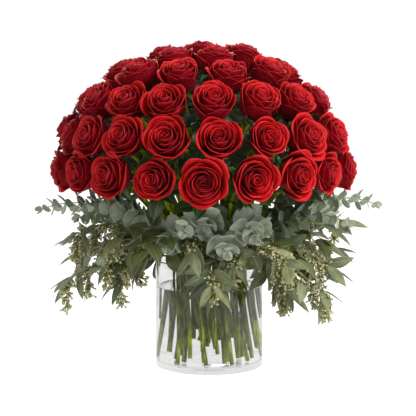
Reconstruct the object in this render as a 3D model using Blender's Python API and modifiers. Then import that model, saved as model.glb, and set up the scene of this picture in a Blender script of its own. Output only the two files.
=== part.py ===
"""Roses in a vase: a dome of red roses over eucalyptus and salal, in a clear glass cylinder of water.

Metres, +Z up. The origin is the centre of the vase's flat foot, and the front faces -Y. An azimuth is
measured from the front, anticlockwise seen from above, so +90 degrees points along +X.
"""

import math
import random

import bmesh
import bpy
from mathutils import Matrix, Vector

# Vase and water
VASE_RADIUS = 0.076
VASE_HEIGHT = 0.152
VASE_WALL = 0.0035
VASE_BASE = 0.008
VASE_SEGMENTS = 40
VASE_EDGE = 0.0012
WATER_DEPTH = 0.1055
GAP = 0.0003

# Stems: straight and crossing in the water, narrowest at the waist, and curving apart above the neck.
# They lean as far as the glass lets the outer ring, and some inner ones are cut off above the floor.
STEM_RADIUS = 0.0028
STEM_WATER_GAP = 0.0009
STEM_WALL_CLEARANCE = 0.0025
WAIST_BELOW_RIM = 0.020
NECK_BELOW_RIM = 0.002
WAIST_RING = 0.0520
TWIST_RUN = 0.024
STEM_STEPS = 3
CUT_RISE = 0.12
CUT_SHARES = (0.3, 1.0, 0.0, 0.6)
SPRIG_CUT_RISE = 0.058
BRANCH_STAGGER = 0.035
BRANCH_ROOT = 0.6
BRANCH_ROLL = 0.17
BRANCH_SPREAD = 0.7

# Blooms: (share of the length from the top of the stem, share of the radius)
BLOOM_RADIUS = 0.0278
BLOOM_LENGTH = 0.050
BLOOM_PROFILE = ((0.20, 0.60), (0.52, 1.00), (0.86, 0.87), (1.00, 0.30))
BLOOM_SUNK = 0.56
BLOOM_SPACE = 0.0089
BLOOM_SHIFT = 0.0012
BLOOM_TILT = math.radians(5)

# Dome: (roses in the tier, polar angle, azimuth offset in steps, share of the outer stem ring,
# roses on stems of their own, groups that the rest are joined in)
DOME_FLATNESS = 0.846
DOME_SIDE = -0.007
GREENS_DEPTH = 0.095
TIERS = (
    (19, 90.0, 0.00, 0.860, 11, 2),
    (18, 70.5, 0.30, 0.685, 10, 2),
    (16, 52.5, 0.20, 0.515, 9, 2),
    (11, 35.0, 0.50, 0.345, 6, 1),
    (6, 17.0, 0.25, 0.180, 0, 2),
    (1, 0.0, 0.00, 0.000, 1, 0),
)

# Greens: (kind, azimuth in degrees, reach in dome radii, height of the tip above the rim in depths)
SPRIG_RADIUS = 0.0018
SPRIG_STEPS = 5
SPRIG_ARCH = 0.030
SPRIGS = (
    ("dollar", -88, 1.21, 0.76),
    ("seeded", -64, 1.05, -0.11),
    ("salal", -45, 0.85, 0.48),
    ("dollar", -15, 0.68, 0.57),
    ("seeded", 2, 0.58, -0.21),
    ("dollar", 26, 0.72, 0.47),
    ("seeded", 50, 1.00, -0.26),
    ("salal", 68, 0.90, 0.53),
    ("dollar", 92, 1.21, 0.82),
    ("seeded", 122, 1.10, 0.00),
    ("salal", 178, 0.90, 0.47),
    ("seeded", -120, 1.10, 0.00),
)
DISC_RADIUS = 0.0135
DISC_THICKNESS = 0.0012
LANCE_LENGTH = 0.056
LANCE_WIDTH = 0.018
SALAL_LENGTH = 0.066
SALAL_WIDTH = 0.036
LEAF_THICKNESS = 0.0016
CLUSTER_RADIUS = 0.0070
LEAF_PLACE = 0.93

WATER_TOP = VASE_BASE + WATER_DEPTH
WAIST = VASE_HEIGHT - WAIST_BELOW_RIM
NECK = VASE_HEIGHT - NECK_BELOW_RIM
INNER_RADIUS = VASE_RADIUS - VASE_WALL
DOME_RADIUS = TIERS[0][0] * (2 * BLOOM_RADIUS + BLOOM_SPACE) / (2 * math.pi)
DOME_HEIGHT = DOME_RADIUS * DOME_FLATNESS
DOME_BASE = VASE_HEIGHT + GREENS_DEPTH + BLOOM_RADIUS
FOOT_RING = INNER_RADIUS - STEM_RADIUS - STEM_WALL_CLEARANCE
STEM_LEAN = -math.sqrt((FOOT_RING / WAIST_RING) ** 2 - 1) / (WAIST - VASE_BASE)
NECK_TWIST = math.atan(STEM_LEAN * TWIST_RUN)


def clear_scene():
    for old in list(bpy.data.objects):
        bpy.data.objects.remove(old)


def collection(name):
    made = bpy.data.collections.new(name)
    bpy.context.scene.collection.children.link(made)
    return made


def material(name, colour, roughness, metallic=0.0, transmission=0.0):
    made = bpy.data.materials.new(name)
    made.use_nodes = True
    shader = made.node_tree.nodes["Principled BSDF"]
    shader.inputs["Base Color"].default_value = (*colour, 1)
    shader.inputs["Roughness"].default_value = roughness
    shader.inputs["Metallic"].default_value = metallic
    shader.inputs["Transmission Weight"].default_value = transmission
    return made


def place(obj, group, finish):
    group.objects.link(obj)
    obj.data.materials.clear()
    obj.data.materials.append(finish)
    return obj


def polar(radius, azimuth, height):
    return Vector((radius * math.sin(azimuth), -radius * math.cos(azimuth), height))


def ruling(ring, azimuth, height):
    """A straight stem's centre at this height: all lean the same way round, so no two of them meet."""
    run = STEM_LEAN * (height - WAIST)
    return polar(ring * math.hypot(1, run), azimuth + math.atan(run), height)


def foot_of(ring, azimuth, radius, rise):
    """The lower end of a stem: the edge of its slanted cut clears the vase's floor by the rise."""
    lift = radius * math.sin(math.atan(abs(STEM_LEAN) * ring))
    return ruling(ring, azimuth, VASE_BASE + GAP + lift + rise)


def bezier(points, share):
    while len(points) > 1:
        points = [a.lerp(b, share) for a, b in zip(points, points[1:])]
    return points[0]


def tube(name, points, radii, sides_step=2, roll=0.0):
    """A closed tube along the points, turned about its own line by the roll, as a mesh object."""
    curve = bpy.data.curves.new(name, "CURVE")
    curve.dimensions = "3D"
    curve.bevel_depth = 1.0
    curve.bevel_resolution = sides_step
    curve.use_fill_caps = True
    spline = curve.splines.new("POLY")
    spline.points.add(len(points) - 1)
    for target, point, radius in zip(spline.points, points, radii):
        target.co = (*point, 1)
        target.radius = radius
        target.tilt = roll
    source = bpy.data.objects.new(name + "_path", curve)
    bpy.context.scene.collection.objects.link(source)
    bpy.context.view_layer.update()
    graph = bpy.context.evaluated_depsgraph_get()
    mesh = bpy.data.meshes.new_from_object(source.evaluated_get(graph))
    mesh.name = name
    shell = bmesh.new()
    shell.from_mesh(mesh)
    bmesh.ops.remove_doubles(shell, verts=shell.verts, dist=1e-6)
    bmesh.ops.recalc_face_normals(shell, faces=shell.faces)
    shell.to_mesh(mesh)
    shell.free()
    made = bpy.data.objects.new(name, mesh)
    made.matrix_world = source.matrix_world
    bpy.data.objects.remove(source)
    mesh.shade_smooth()
    mesh.set_sharp_from_angle(angle=math.radians(50))
    return made


def join_meshes(name, objects):
    """One mesh object that holds the meshes of all of these, which are removed."""
    shell = bmesh.new()
    for obj in objects:
        shell.from_mesh(obj.data)
        bpy.data.objects.remove(obj)
    mesh = bpy.data.meshes.new(name)
    shell.to_mesh(mesh)
    shell.free()
    return bpy.data.objects.new(name, mesh)


def combine(obj, cutter, operation, cutters):
    cutters.objects.link(cutter)
    cutter.hide_render = True
    cutter.display_type = "WIRE"
    modifier = obj.modifiers.new(operation.lower(), "BOOLEAN")
    modifier.object = cutter
    modifier.operation = operation
    modifier.solver = "EXACT"
    modifier.use_self = True


def make_vase(group, finish):
    """A glass cylinder with a thick flat foot, turned from its half section."""
    profile = (
        (0.0, VASE_BASE),
        (INNER_RADIUS - VASE_EDGE, VASE_BASE),
        (INNER_RADIUS, VASE_BASE + VASE_EDGE),
        (INNER_RADIUS, VASE_HEIGHT - VASE_EDGE),
        (INNER_RADIUS + VASE_EDGE, VASE_HEIGHT),
        (VASE_RADIUS - VASE_EDGE, VASE_HEIGHT),
        (VASE_RADIUS, VASE_HEIGHT - VASE_EDGE),
        (VASE_RADIUS, VASE_EDGE),
        (VASE_RADIUS - VASE_EDGE, 0.0),
        (0.0, 0.0),
    )
    return turned("vase", profile, group, finish)


def turned(name, profile, group, finish):
    mesh = bpy.data.meshes.new(name)
    edges = [(i, i + 1) for i in range(len(profile) - 1)]
    mesh.from_pydata([(radius, 0, height) for radius, height in profile], edges, [])
    obj = place(bpy.data.objects.new(name, mesh), group, finish)
    screw = obj.modifiers.new("turn", "SCREW")
    screw.steps = VASE_SEGMENTS
    screw.render_steps = VASE_SEGMENTS
    screw.use_merge_vertices = True
    screw.merge_threshold = 1e-5
    screw.use_smooth_shade = False
    return obj


def make_water(group, finish, cutters, rulings):
    """Water between the glass and the stems, with a bore for each stem that ends just below its cut."""
    radius = INNER_RADIUS - GAP
    floor = VASE_BASE + GAP
    profile = (
        (0.0, WATER_TOP),
        (radius, WATER_TOP),
        (radius, floor + VASE_EDGE),
        (radius - VASE_EDGE, floor),
        (0.0, floor),
    )
    water = turned("water", profile, group, finish)
    bores = []
    for ring, azimuth, stem_radius, foot_height in rulings:
        ends = [ruling(ring, azimuth, height) for height in (foot_height - stem_radius, NECK)]
        bores.append(tube("bore", ends, [stem_radius + STEM_WATER_GAP] * 2, 1))
    combine(water, join_meshes("water_bores", bores), "DIFFERENCE", cutters)
    return water


def dome_point(polar_angle, azimuth):
    """The centre and outward direction of a bloom on the dome."""
    centre = polar(DOME_RADIUS * math.sin(polar_angle), azimuth, DOME_HEIGHT * math.cos(polar_angle))
    out = polar(math.sin(polar_angle) / DOME_RADIUS, azimuth, math.cos(polar_angle) / DOME_HEIGHT)
    return centre + Vector((DOME_SIDE, 0, DOME_BASE)), out.normalized()


def plan_roses():
    """Each rose: its tier, azimuth, bloom centre and direction, in order round each tier."""
    chance = random.Random(12)
    tiers = []
    for count, angle, offset, *_ in TIERS:
        tier = []
        for index in range(count):
            azimuth = 2 * math.pi * (index + offset - count // 2) / count
            centre, out = dome_point(math.radians(angle), azimuth)
            centre += Vector([chance.uniform(-BLOOM_SHIFT, BLOOM_SHIFT) for _ in range(3)])
            tilt = Vector([chance.uniform(-BLOOM_TILT, BLOOM_TILT) for _ in range(3)])
            tier.append((azimuth, centre, (out + tilt).normalized()))
        tiers.append(tier)
    return tiers


def rose_path(ring, neck_azimuth, main_azimuth, rose):
    """Centre line of a stem from the neck to the bloom, fanning out of the main stem of its group."""
    azimuth, centre, out = rose
    base = centre - out * BLOOM_LENGTH * BLOOM_SUNK
    start = ruling(ring, neck_azimuth, NECK)
    rise = (base.z - start.z) * 0.45
    start_reach = math.hypot(start.x, start.y)
    base_reach = math.hypot(base.x - DOME_SIDE, base.y)
    flat = [Vector((start_reach, start.z)), Vector((start_reach + ring * 0.3, start.z + rise))]
    slope = Vector((math.hypot(out.x, out.y), out.z))
    flat += [Vector((base_reach, base.z)) - slope * rise * 0.9, Vector((base_reach, base.z))]
    points = []
    for step in range(1, STEM_STEPS + 1):
        share = step / STEM_STEPS
        spread = (azimuth - main_azimuth) * share ** BRANCH_SPREAD
        turn = main_azimuth - NECK_TWIST * (1 - share) ** 2 + spread
        reach, height = bezier(flat, share)
        points.append(polar(reach, turn, height) + Vector((DOME_SIDE * share, 0, 0)))
    points[-1] = base
    for share, _ in BLOOM_PROFILE:
        points.append(base + out * BLOOM_LENGTH * share)
    return points


def rose_radii(points):
    stem = [STEM_RADIUS] * (len(points) - len(BLOOM_PROFILE))
    return stem + [BLOOM_RADIUS * share for _, share in BLOOM_PROFILE]


def make_rose(name, ring, rise, roses, group, finish, cutters, rulings):
    """A rose on its own stem, or a group whose stems are joined to one of them at the neck."""
    main = roses[len(roses) // 2]
    neck_azimuth = main[0] - NECK_TWIST - math.atan(STEM_LEAN * (NECK - WAIST))
    foot = foot_of(ring, neck_azimuth, STEM_RADIUS, rise)
    rulings.append((ring, neck_azimuth, STEM_RADIUS, foot.z))
    neck = ruling(ring, neck_azimuth, NECK)
    path = [foot, neck] + rose_path(ring, neck_azimuth, main[0], main)
    rose = place(tube(name, path, rose_radii(path)), group, finish)
    branches = []
    for other in roses:
        if other is main:
            continue
        start = neck.lerp(foot, BRANCH_STAGGER * (1 + len(branches)))
        path = [start] + rose_path(ring, neck_azimuth, main[0], other)
        radii = rose_radii(path)
        radii[0] *= BRANCH_ROOT
        roll = BRANCH_ROLL * (1 + len(branches))
        branches.append(tube(name + "_branch", path, radii, roll=roll))
    if branches:
        combine(rose, join_meshes(name + "_branches", branches), "UNION", cutters)
    return rose


def cut_rise(number, ring):
    """How far above the floor a stem is cut off: the nearer the middle, the higher."""
    return CUT_RISE * (1 - ring) * CUT_SHARES[number % len(CUT_SHARES)]


def make_roses(group, finish, cutters, rulings):
    """Single roses round the front of each tier, and groups behind and on top."""
    number = 0
    group_number = 0
    for tier, (*_, ring, singles, groups) in zip(plan_roses(), TIERS):
        tier = sorted(tier, key=lambda rose: abs(rose[0]))
        front = tier[:singles]
        behind = sorted(tier[singles:], key=lambda rose: rose[0] % (2 * math.pi))
        for rose in sorted(front, key=lambda rose: rose[0]):
            number += 1
            name = f"rose_{number:02d}"
            rise = cut_rise(number, ring)
            make_rose(name, WAIST_RING * ring, rise, [rose], group, finish, cutters, rulings)
        for share in range(groups):
            group_number += 1
            name = f"rose_group_{group_number}"
            first, last = (len(behind) * turn // groups for turn in (share, share + 1))
            roses = [unwound(rose) for rose in behind[first:last]]
            rise = cut_rise(group_number, ring)
            make_rose(name, WAIST_RING * ring, rise, roses, group, finish, cutters, rulings)


def unwound(rose):
    """The same rose with its azimuth between 0 and a full turn, so that neighbours behind stay close."""
    return rose[0] % (2 * math.pi), rose[1], rose[2]


def sprig_path(azimuth, reach, rise):
    """From the vase's floor up past the neck, over the rim and out to a drooping tip."""
    neck_azimuth = azimuth - NECK_TWIST - math.atan(STEM_LEAN * (NECK - WAIST))
    start = ruling(WAIST_RING, neck_azimuth, NECK)
    start_reach = math.hypot(start.x, start.y)
    tip = Vector((reach, VASE_HEIGHT + rise))
    crest = VASE_HEIGHT + max(rise, 0) * 0.45 + SPRIG_ARCH * 0.6
    flat = [
        Vector((start_reach, start.z)),
        Vector((start_reach + 0.012, crest)),
        Vector((start_reach + (reach - start_reach) * 0.6, tip.y + SPRIG_ARCH)),
        tip,
    ]
    points = [foot_of(WAIST_RING, neck_azimuth, SPRIG_RADIUS, SPRIG_CUT_RISE), start]
    for step in range(1, SPRIG_STEPS + 1):
        share = step / SPRIG_STEPS
        flat_reach, height = bezier(flat, share)
        points.append(polar(flat_reach, azimuth - NECK_TWIST * (1 - share) ** 2, height))
    return points, neck_azimuth


def leaf_frame(point, along, side, pitch):
    """A leaf's place: its length runs sideways from the twig, its face turned up by the pitch."""
    across = along.cross(Vector((0, 0, 1))).normalized() * side
    length = (across + along.normalized() * 0.7 + Vector((0, 0, pitch))).normalized()
    face = length.cross(along).normalized()
    return Matrix.Translation(point) @ Matrix((face.cross(length), length, face)).transposed().to_4x4()


def lance(frame, length, width):
    """A pointed leaf, thickest along its midrib."""
    blade = bmesh.new()
    bmesh.ops.create_uvsphere(blade, u_segments=4, v_segments=3, radius=0.5)
    size = Matrix.Diagonal((width, LEAF_THICKNESS, length, 1))
    stand = Matrix.Rotation(math.radians(-90), 4, "X")
    move = Matrix.Translation((0, length * 0.5 - SPRIG_RADIUS * 0.5, 0))
    blade.transform(frame @ move @ stand @ size)
    return blade


def disc(frame, radius):
    """A round leaf on a short stalk's length from the twig."""
    blade = bmesh.new()
    bmesh.ops.create_cone(
        blade, cap_ends=True, segments=8, radius1=radius, radius2=radius, depth=DISC_THICKNESS
    )
    blade.transform(frame @ Matrix.Translation((0, radius + SPRIG_RADIUS * 0.3, 0)))
    return blade


def cluster(point):
    """The outer shape of a bunch of seed capsules."""
    bunch = bmesh.new()
    bmesh.ops.create_icosphere(bunch, subdivisions=1, radius=CLUSTER_RADIUS)
    bunch.transform(Matrix.Translation(point))
    return bunch


def sprig_pieces(kind, points):
    """The leaves and seed bunches of a sprig, at the points of its outer stretch."""
    pieces = []
    for index in range(3, len(points)):
        along = (points[index] - points[index - 1]).normalized()
        last = index == len(points) - 1
        point = points[index - 1].lerp(points[index], LEAF_PLACE)
        side = 1 if index % 2 else -1
        taper = 1 - 0.07 * (index - 3)
        if kind == "dollar":
            pieces.append(disc(leaf_frame(point, along, side, 0.0), DISC_RADIUS * taper))
            pieces.append(disc(leaf_frame(point, along, -side, 0.0), DISC_RADIUS * taper))
        elif kind == "salal":
            frame = leaf_frame(point, along, side, -0.25)
            pieces.append(lance(frame, SALAL_LENGTH * taper, SALAL_WIDTH * taper))
        else:
            frame = leaf_frame(point, along, side, -0.35)
            pieces.append(lance(frame, LANCE_LENGTH * taper, LANCE_WIDTH * taper))
            if last or index % 2 == 0:
                pieces.append(cluster(point))
    return pieces


def make_greens(group, finishes, cutters, rulings):
    counts = {}
    for kind, azimuth, reach, rise in SPRIGS:
        counts[kind] = counts.get(kind, 0) + 1
        name = f"{kind}_sprig_{counts[kind]}"
        points, neck_azimuth = sprig_path(math.radians(azimuth), reach * DOME_RADIUS, rise * GREENS_DEPTH)
        rulings.append((WAIST_RING, neck_azimuth, SPRIG_RADIUS, points[0].z))
        radii = [SPRIG_RADIUS * (1 - 0.05 * i) for i in range(len(points))]
        sprig = place(tube(name, points, radii, 1), group, finishes[kind])
        leaves = bmesh.new()
        for piece in sprig_pieces(kind, points):
            mesh = bpy.data.meshes.new("leaf")
            piece.to_mesh(mesh)
            piece.free()
            leaves.from_mesh(mesh)
            bpy.data.meshes.remove(mesh)
        bmesh.ops.recalc_face_normals(leaves, faces=leaves.faces)
        mesh = bpy.data.meshes.new(name + "_leaves")
        leaves.to_mesh(mesh)
        leaves.free()
        combine(sprig, bpy.data.objects.new(name + "_leaves", mesh), "UNION", cutters)


def main():
    clear_scene()
    group = collection("roses_in_a_vase")
    cutters = collection("cutters")
    glass = material("clear_glass", (0.93, 0.96, 0.96), 0.03, transmission=1.0)
    water = material("water", (0.90, 0.95, 0.92), 0.02, transmission=1.0)
    petals = material("rose_petals", (0.42, 0.008, 0.014), 0.55)
    finishes = {
        "dollar": material("dollar_leaves", (0.30, 0.38, 0.33), 0.6),
        "seeded": material("seeded_leaves", (0.16, 0.21, 0.12), 0.55),
        "salal": material("salal_leaves", (0.05, 0.11, 0.04), 0.4),
    }
    rulings = []
    make_vase(group, glass)
    make_roses(group, petals, cutters, rulings)
    make_greens(group, finishes, cutters, rulings)
    make_water(group, water, cutters, rulings)


main()
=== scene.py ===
"""Looks of the roses in a vase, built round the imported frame: petals, sepals, leaves, glass and water."""

import math
import random

import bmesh
import bpy
import numpy as np
from mathutils import Matrix, Vector, noise


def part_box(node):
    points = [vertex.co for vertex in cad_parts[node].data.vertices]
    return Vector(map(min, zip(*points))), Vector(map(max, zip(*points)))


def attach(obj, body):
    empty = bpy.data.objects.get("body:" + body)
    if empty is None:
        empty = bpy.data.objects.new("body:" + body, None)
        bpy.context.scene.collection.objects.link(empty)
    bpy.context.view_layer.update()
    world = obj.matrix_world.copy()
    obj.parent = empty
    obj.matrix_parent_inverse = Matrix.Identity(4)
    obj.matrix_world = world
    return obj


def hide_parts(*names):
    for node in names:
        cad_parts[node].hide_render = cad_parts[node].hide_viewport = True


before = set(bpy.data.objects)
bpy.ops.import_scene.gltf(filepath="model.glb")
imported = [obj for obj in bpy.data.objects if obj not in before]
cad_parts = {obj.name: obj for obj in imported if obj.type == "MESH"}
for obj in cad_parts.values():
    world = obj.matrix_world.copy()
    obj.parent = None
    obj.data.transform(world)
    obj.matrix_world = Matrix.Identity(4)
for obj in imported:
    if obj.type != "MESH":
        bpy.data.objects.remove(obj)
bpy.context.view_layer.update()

# ------------------------------------------------------------------ layout, tied to the frame

VASE_LOW, VASE_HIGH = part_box("vase")
VASE_RADIUS = (VASE_HIGH.x - VASE_LOW.x) / 2
VASE_HEIGHT = VASE_HIGH.z
VASE_WALL = 0.0035
VASE_BASE = 0.008
WATER_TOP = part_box("water")[1].z
INNER_RADIUS = VASE_RADIUS - VASE_WALL

STEM_RADIUS = 0.0028
STEM_WALL_CLEARANCE = 0.0025
WAIST = VASE_HEIGHT - 0.020
NECK = VASE_HEIGHT - 0.002
WAIST_RING = 0.0520
FOOT_RING = INNER_RADIUS - STEM_RADIUS - STEM_WALL_CLEARANCE
STEM_LEAN = -math.sqrt((FOOT_RING / WAIST_RING) ** 2 - 1) / (WAIST - VASE_BASE)
NECK_EASE = 0.024
NECK_TWIST = math.atan(STEM_LEAN * NECK_EASE)
CUT_GAP = 0.0003
CUT_RISE = 0.12
CUT_SHARES = (0.3, 1.0, 0.0, 0.6)
SPRIG_CUT_RISE = 0.058
BRANCH_STAGGER = 0.035
BRANCH_SPREAD = 0.7
# how far the stems of each ring turn round towards the floor, from the middle ring to the sprigs' ring
WATER_TURNS = (0.0, -0.50, -0.12, -0.48, -0.10, -0.42, -0.30)

BLOOM_RADIUS = 0.0278
BLOOM_LENGTH = 0.050
BLOOM_SUNK = 0.56
BLOOM_SPACE = 0.0089
BLOOM_SHIFT = 0.0012
BLOOM_TILT = math.radians(5)
BLOOM_LIFT = 0.008

DOME_FLATNESS = 0.846
DOME_SIDE = -0.007
GREENS_DEPTH = 0.095
# (roses in the tier, polar angle, azimuth offset in steps, share of the outer ring, singles, groups)
TIERS = (
    (19, 90.0, 0.00, 0.860, 11, 2),
    (18, 70.5, 0.30, 0.685, 10, 2),
    (16, 52.5, 0.20, 0.515, 9, 2),
    (11, 35.0, 0.50, 0.345, 6, 1),
    (6, 17.0, 0.25, 0.180, 0, 2),
    (1, 0.0, 0.00, 0.000, 1, 0),
)
DOME_RADIUS = TIERS[0][0] * (2 * BLOOM_RADIUS + BLOOM_SPACE) / (2 * math.pi)
DOME_HEIGHT = DOME_RADIUS * DOME_FLATNESS
DOME_BASE = VASE_HEIGHT + GREENS_DEPTH + BLOOM_RADIUS


def polar(radius, azimuth, height):
    return Vector((radius * math.sin(azimuth), -radius * math.cos(azimuth), height))


def ruling(ring, azimuth, height):
    """A straight stem's centre at this height: all lean the same way round, so no two of them meet."""
    run = STEM_LEAN * (height - WAIST)
    return polar(ring * math.hypot(1, run), azimuth + math.atan(run), height)


def foot_of(ring, azimuth, radius, rise):
    """The lower end of a stem: the edge of its slanted cut clears the vase's floor by the rise."""
    lift = radius * math.sin(math.atan(abs(STEM_LEAN) * ring)) + CUT_GAP
    return ruling(ring, azimuth, VASE_BASE + lift + rise)


def bezier(points, share):
    while len(points) > 1:
        points = [a.lerp(b, share) for a, b in zip(points, points[1:])]
    return points[0]


def dome_point(polar_angle, azimuth):
    centre = polar(DOME_RADIUS * math.sin(polar_angle), azimuth, DOME_HEIGHT * math.cos(polar_angle))
    out = polar(math.sin(polar_angle) / DOME_RADIUS, azimuth, math.cos(polar_angle) / DOME_HEIGHT)
    return centre + Vector((DOME_SIDE, 0, DOME_BASE)), out.normalized()


def plan_roses():
    """Each rose of each tier: its azimuth, bloom centre and direction, as the frame has them."""
    chance = random.Random(12)
    tiers = []
    for count, angle, offset, *_ in TIERS:
        tier = []
        for index in range(count):
            azimuth = 2 * math.pi * (index + offset - count // 2) / count
            centre, out = dome_point(math.radians(angle), azimuth)
            centre += Vector([chance.uniform(-BLOOM_SHIFT, BLOOM_SHIFT) for _ in range(3)])
            if count == TIERS[0][0]:
                centre.z += BLOOM_LIFT * (0.4 + min(0.6, abs(azimuth)))
            tilt = Vector([chance.uniform(-BLOOM_TILT, BLOOM_TILT) for _ in range(3)])
            tier.append((azimuth, centre, (out + tilt).normalized()))
        tiers.append(tier)
    return tiers


def under_water(ring, foot, start, steps=6):
    """The stretch of a stem from its cut to the neck, turned a little further round towards the floor."""
    points = []
    whole = WATER_TURNS[round(ring / WAIST_RING * (len(WATER_TURNS) - 1))]
    for step in range(steps + 1):
        point = foot.lerp(start, step / steps)
        point.rotate(Matrix.Rotation(whole * ((start.z - point.z) / (NECK - VASE_BASE)) ** 1.2, 3, "Z"))
        points.append(point)
    return points


def cut_rise(number, ring):
    """How far above the floor a stem is cut off: the nearer the middle, the higher."""
    return CUT_RISE * (1 - ring) * CUT_SHARES[number % len(CUT_SHARES)]


def rose_nodes():
    """(node name, ring, rise, roses) for every rose node, numbered as in the frame."""
    nodes = []
    number = 0
    group_number = 0
    for tier, (*_, ring, singles, groups) in zip(plan_roses(), TIERS):
        tier = sorted(tier, key=lambda rose: abs(rose[0]))
        behind = sorted(tier[singles:], key=lambda rose: rose[0] % (2 * math.pi))
        for rose in sorted(tier[:singles], key=lambda rose: rose[0]):
            number += 1
            nodes.append((f"rose_{number:02d}", WAIST_RING * ring, cut_rise(number, ring), [rose]))
        for share in range(groups):
            group_number += 1
            first, last = (len(behind) * turn // groups for turn in (share, share + 1))
            roses = [(rose[0] % (2 * math.pi), rose[1], rose[2]) for rose in behind[first:last]]
            rise = cut_rise(group_number, ring)
            nodes.append((f"rose_group_{group_number}", WAIST_RING * ring, rise, roses))
    return nodes


def stem_path(ring, rise, main, rose, branch, steps=9):
    """A stem's centre line up to the bloom, from its cut or, on a branch, from the group's main stem."""
    azimuth, centre, out = rose
    neck_azimuth = main[0] - NECK_TWIST - math.atan(STEM_LEAN * (NECK - WAIST))
    base = centre - out * BLOOM_LENGTH * BLOOM_SUNK
    start = ruling(ring, neck_azimuth, NECK)
    climb = (base.z - start.z) * 0.45
    start_reach = math.hypot(start.x, start.y)
    base_reach = math.hypot(base.x - DOME_SIDE, base.y)
    flat = [Vector((start_reach, start.z)), Vector((start_reach + ring * 0.3, start.z + climb))]
    slope = Vector((math.hypot(out.x, out.y), out.z))
    flat += [Vector((base_reach, base.z)) - slope * climb * 0.9, Vector((base_reach, base.z))]
    foot = foot_of(ring, neck_azimuth, STEM_RADIUS, rise)
    if branch:
        points = [start.lerp(foot, BRANCH_STAGGER * branch)]
    else:
        points = under_water(ring, foot, start)
    for step in range(1, steps + 1):
        share = step / steps
        reach, height = bezier(flat, share)
        spread = (azimuth - main[0]) * share ** BRANCH_SPREAD
        turn = main[0] - NECK_TWIST * (1 - share) ** 2 + spread
        points.append(polar(reach, turn, height) + Vector((DOME_SIDE * share, 0, 0)))
    points[-1] = base
    return points


# ------------------------------------------------------------------ mesh building

class Builder:
    """Collects closed shapes and makes one mesh object of them, with a tint on every point."""

    def __init__(self, name, finishes):
        self.name = name
        self.finishes = finishes
        self.points = []
        self.quads = []
        self.slots = []
        self.tints = []
        self.count = 0

    def add(self, shape, slot, matrix=None, tint=None):
        """A shape is (points, quads, tints); a quad whose last two corners are one point is a triangle."""
        points, quads, tints = shape
        if matrix is not None:
            turn = np.array(matrix)
            points = points @ turn[:3, :3].T + turn[:3, 3]
        if tint is not None:
            tints = tints.copy()
            tints[:, 2] = tint
        self.points.append(points)
        self.quads.append(quads + self.count)
        self.slots.append(np.full(len(quads), slot))
        self.tints.append(tints)
        self.count += len(points)

    def build(self):
        points = np.concatenate(self.points)
        quads = np.concatenate(self.quads)
        slots = np.concatenate(self.slots)
        tints = np.concatenate(self.tints)
        three = quads[:, 2] == quads[:, 3]
        kept = np.ones(quads.shape, bool)
        kept[:, 3] = ~three
        corners = quads[kept]
        mesh = bpy.data.meshes.new(self.name)
        mesh.vertices.add(len(points))
        mesh.vertices.foreach_set("co", points.astype(np.float32).ravel())
        mesh.loops.add(len(corners))
        mesh.loops.foreach_set("vertex_index", corners.astype(np.int32))
        mesh.polygons.add(len(quads))
        starts = np.concatenate([[0], np.cumsum(np.where(three, 3, 4))[:-1]])
        mesh.polygons.foreach_set("loop_start", starts.astype(np.int32))
        mesh.polygons.foreach_set("material_index", slots.astype(np.int32))
        mesh.update(calc_edges=True)
        colours = mesh.attributes.new("tint", "FLOAT_COLOR", "POINT")
        colours.data.foreach_set("color", tints.astype(np.float32).ravel())
        mesh.shade_smooth()
        for finish in self.finishes:
            mesh.materials.append(finish)
        made = bpy.data.objects.new(self.name, mesh)
        bpy.context.scene.collection.objects.link(made)
        return made


def sheet(grid, thickness, tints):
    """A thin closed blade over a grid of points. Its tints' last value is 1 on the face and 0 on the back."""
    rows, columns = grid.shape[:2]
    normal = np.cross(np.gradient(grid, axis=1), np.gradient(grid, axis=0))
    normal /= np.maximum(np.linalg.norm(normal, axis=2, keepdims=True), 1e-12)
    face = (grid + normal * thickness / 2).reshape(-1, 3)
    back = (grid - normal * thickness / 2).reshape(-1, 3)
    index = np.arange(rows * columns).reshape(rows, columns)
    corners = (index[:-1, :-1], index[:-1, 1:], index[1:, 1:], index[1:, :-1])
    front = np.stack([corner.ravel() for corner in corners], 1)
    behind = front[:, ::-1] + rows * columns
    edge = np.concatenate([index[0, :-1], index[:-1, -1], index[-1, :0:-1], index[:0:-1, 0]])
    ahead = np.roll(edge, -1)
    rim = np.stack([ahead, edge, edge + rows * columns, ahead + rows * columns], 1)
    tints = tints.reshape(-1, 4)
    far = tints.copy()
    far[:, 3] = 0
    return np.concatenate([face, back]), np.concatenate([front, behind, rim]), np.concatenate([tints, far])


PLAIN_TINT = (0.5, 0.5, 0.5, 1.0)

def tube_quads(count, sides):
    """The faces of a tube of this many rings. Two last points, after the rings, close its ends."""
    index = np.arange(count * sides).reshape(count, sides)
    ahead = np.roll(index, -1, axis=1)
    wall = np.stack([index[:-1], ahead[:-1], ahead[1:], index[1:]], 2).reshape(-1, 4)
    low = np.full(sides, count * sides)
    foot = np.stack([ahead[0], index[0], low, low], 1)
    cap = np.stack([index[-1], ahead[-1], low + 1, low + 1], 1)
    return np.concatenate([wall, foot, cap])

def lathe_along(path, radii, sides):
    """A closed tube along a path of points, each with its own radius, pointed or capped by its end radii."""
    path = np.array([tuple(point) for point in path])
    along = np.gradient(path, axis=0)
    along /= np.linalg.norm(along, axis=1, keepdims=True)
    side = np.cross(along[0], (0.31, 0.87, 0.21))
    rings = []
    for point, line, radius in zip(path, along, radii):
        side = side - line * (side @ line)
        side /= np.linalg.norm(side)
        up = np.cross(line, side)
        turn = np.arange(sides) * 2 * np.pi / sides
        rings.append(point + radius * (np.outer(np.cos(turn), side) + np.outer(np.sin(turn), up)))
    points = np.concatenate(rings + [path[:1], path[-1:]])
    tints = np.tile(PLAIN_TINT, (len(points), 1))
    tints[:-2, 0] = np.repeat(np.linspace(0, 1, len(path)), sides)
    return points, tube_quads(len(path), sides), tints


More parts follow.
